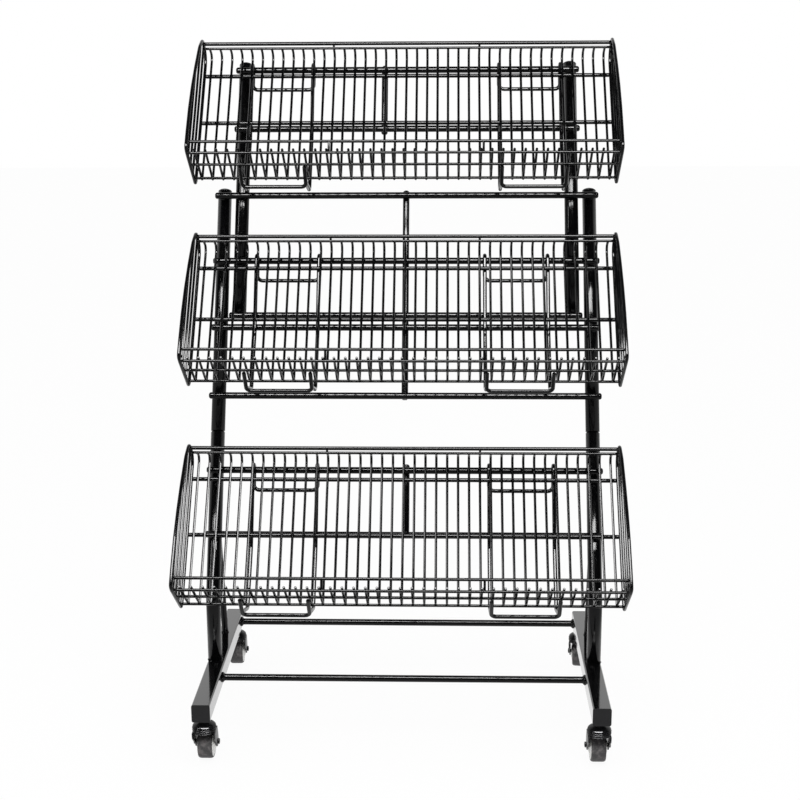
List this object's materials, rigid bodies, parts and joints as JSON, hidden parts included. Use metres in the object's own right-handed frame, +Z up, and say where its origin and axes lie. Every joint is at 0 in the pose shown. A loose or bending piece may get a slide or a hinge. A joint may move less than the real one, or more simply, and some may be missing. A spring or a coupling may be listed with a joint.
{
  "type": "produce display rack",
  "caption": "Leaning tube-frame display rack on swivel castors, with sloping wire baskets hooked over its crossbars one above another to present loose produce.",
  "frame": {"origin": "centre of the bounding box on the floor, under the middle of the rack", "axes": "+Z up, +X to the right seen from the front, -Y towards the shopper, so the frame leans back towards +Y"},
  "size_m": [1.006, 0.8158, 1.5743],
  "materials": {
    "frame_coat": "glossy black powder coat",
    "basket_coat": "glossy black powder coat on wire",
    "castor_steel": "black plated steel, semi-gloss",
    "cap_plastic": "fine satin black plastic",
    "wheel_rubber": "matte dark grey rubber"
  },
  "bodies": {
    "rack": {"base_crossbar_front": "frame_coat", "base_crossbar_rear": "frame_coat", "base_post_left": "frame_coat", "base_post_right": "frame_coat", "basket_bottom_end_left": "basket_coat", "basket_bottom_end_right": "basket_coat", "basket_bottom_mesh": "basket_coat", "basket_middle_end_left": "basket_coat", "basket_middle_end_right": "basket_coat", "basket_middle_mesh": "basket_coat", "basket_top_end_left": "basket_coat", "basket_top_end_right": "basket_coat", "basket_top_mesh": "basket_coat", "brace_left": "frame_coat", "brace_right": "frame_coat", "bracket_bottom_left": "frame_coat", "bracket_bottom_right": "frame_coat", "bracket_middle_left": "frame_coat", "bracket_middle_right": "frame_coat", "bracket_top_left": "frame_coat", "bracket_top_right": "frame_coat", "castor_front_left_race": "castor_steel", "castor_front_right_race": "castor_steel", "castor_rear_left_race": "castor_steel", "castor_rear_right_race": "castor_steel", "centre_bar_base": "frame_coat", "centre_bar_main": "frame_coat", "centre_bar_upper": "frame_coat", "crossbar_1": "frame_coat", "crossbar_2": "frame_coat", "crossbar_3": "frame_coat", "crossbar_4": "frame_coat", "crossbar_5": "frame_coat", "crossbar_6": "frame_coat", "leg_left": "frame_coat", "leg_right": "frame_coat", "main_cap_left": "cap_plastic", "main_cap_right": "cap_plastic", "main_upright_left": "frame_coat", "main_upright_right": "frame_coat", "upper_cap_left": "cap_plastic", "upper_cap_right": "cap_plastic", "upper_crossbar_1": "frame_coat", "upper_crossbar_2": "frame_coat", "upper_crossbar_3": "frame_coat", "upper_upright_left": "frame_coat", "upper_upright_right": "frame_coat"},
    "castor_front_left_swivel_body": {"castor_front_left_axle": "castor_steel", "castor_front_left_fork": "castor_steel"},
    "castor_front_left_wheel_body": {"castor_front_left_wheel": "wheel_rubber"},
    "castor_front_right_swivel_body": {"castor_front_right_axle": "castor_steel", "castor_front_right_fork": "castor_steel"},
    "castor_front_right_wheel_body": {"castor_front_right_wheel": "wheel_rubber"},
    "castor_rear_left_swivel_body": {"castor_rear_left_axle": "castor_steel", "castor_rear_left_fork": "castor_steel"},
    "castor_rear_left_wheel_body": {"castor_rear_left_wheel": "wheel_rubber"},
    "castor_rear_right_swivel_body": {"castor_rear_right_axle": "castor_steel", "castor_rear_right_fork": "castor_steel"},
    "castor_rear_right_wheel_body": {"castor_rear_right_wheel": "wheel_rubber"}
  },
  "joints": [
    {"name": "castor_front_left_swivel", "type": "hinge", "parent": "rack", "child": "castor_front_left_swivel_body", "pos_m": [-0.44, -0.38065, 0.08], "axis": [0, 0, 1], "continuous": true},
    {"name": "castor_front_left_spin", "type": "hinge", "parent": "castor_front_left_swivel_body", "child": "castor_front_left_wheel_body", "pos_m": [-0.44, -0.35365, 0.0375], "axis": [1, 0, 0], "continuous": true},
    {"name": "castor_front_right_swivel", "type": "hinge", "parent": "rack", "child": "castor_front_right_swivel_body", "pos_m": [0.44, -0.38065, 0.08], "axis": [0, 0, 1], "continuous": true},
    {"name": "castor_front_right_spin", "type": "hinge", "parent": "castor_front_right_swivel_body", "child": "castor_front_right_wheel_body", "pos_m": [0.44, -0.35365, 0.0375], "axis": [1, 0, 0], "continuous": true},
    {"name": "castor_rear_left_swivel", "type": "hinge", "parent": "rack", "child": "castor_rear_left_swivel_body", "pos_m": [-0.44, 0.13635, 0.08], "axis": [0, 0, 1], "continuous": true},
    {"name": "castor_rear_left_spin", "type": "hinge", "parent": "castor_rear_left_swivel_body", "child": "castor_rear_left_wheel_body", "pos_m": [-0.44094, 0.16333, 0.0375], "axis": [0.9994, 0.0349, 0], "continuous": true},
    {"name": "castor_rear_right_swivel", "type": "hinge", "parent": "rack", "child": "castor_rear_right_swivel_body", "pos_m": [0.44, 0.13635, 0.08], "axis": [0, 0, 1], "continuous": true},
    {"name": "castor_rear_right_spin", "type": "hinge", "parent": "castor_rear_right_swivel_body", "child": "castor_rear_right_wheel_body", "pos_m": [0.44376, 0.16309, 0.0375], "axis": [0.9903, -0.1392, 0], "continuous": true}
  ]
}
